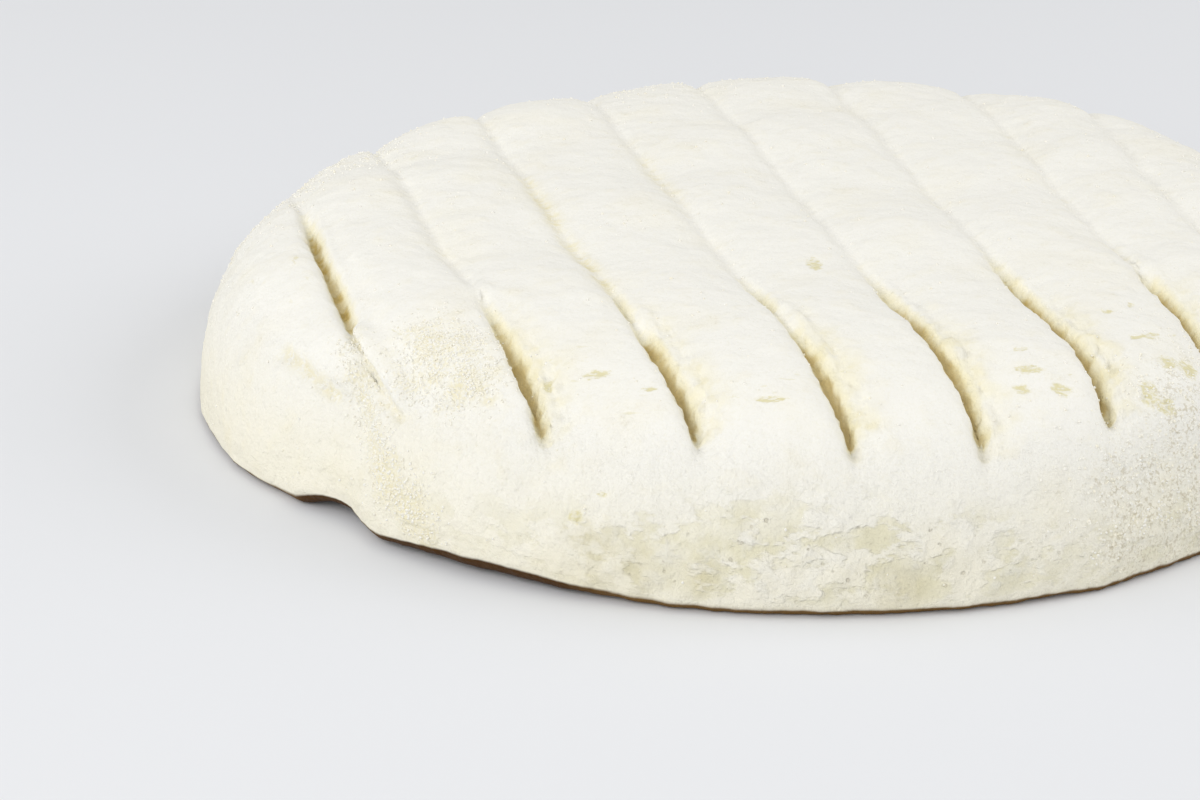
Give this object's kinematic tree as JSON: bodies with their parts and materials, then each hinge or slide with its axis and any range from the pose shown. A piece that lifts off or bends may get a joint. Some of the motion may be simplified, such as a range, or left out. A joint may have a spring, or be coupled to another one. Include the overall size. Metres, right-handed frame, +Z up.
{
  "type": "tomme cheese",
  "caption": "Small round flat tomme with a white bloomy rind, parallel draining-rack grooves across its top and a pinched fold in its side.",
  "frame": {"origin": "middle of the flat face that the cheese rests on", "axes": "+Z up out of the grooved face, +Y nearly along the grooves towards the back, +X to the right of the view that shows the pinched fold at the front left"},
  "size_m": [0.1387, 0.1419, 0.0226],
  "materials": {
    "rind": "matt white mould over cream paste, straw yellow in the grooves and where the mould is thin"
  },
  "bodies": {
    "root": {"cheese": "rind"}
  },
  "joints": []
}
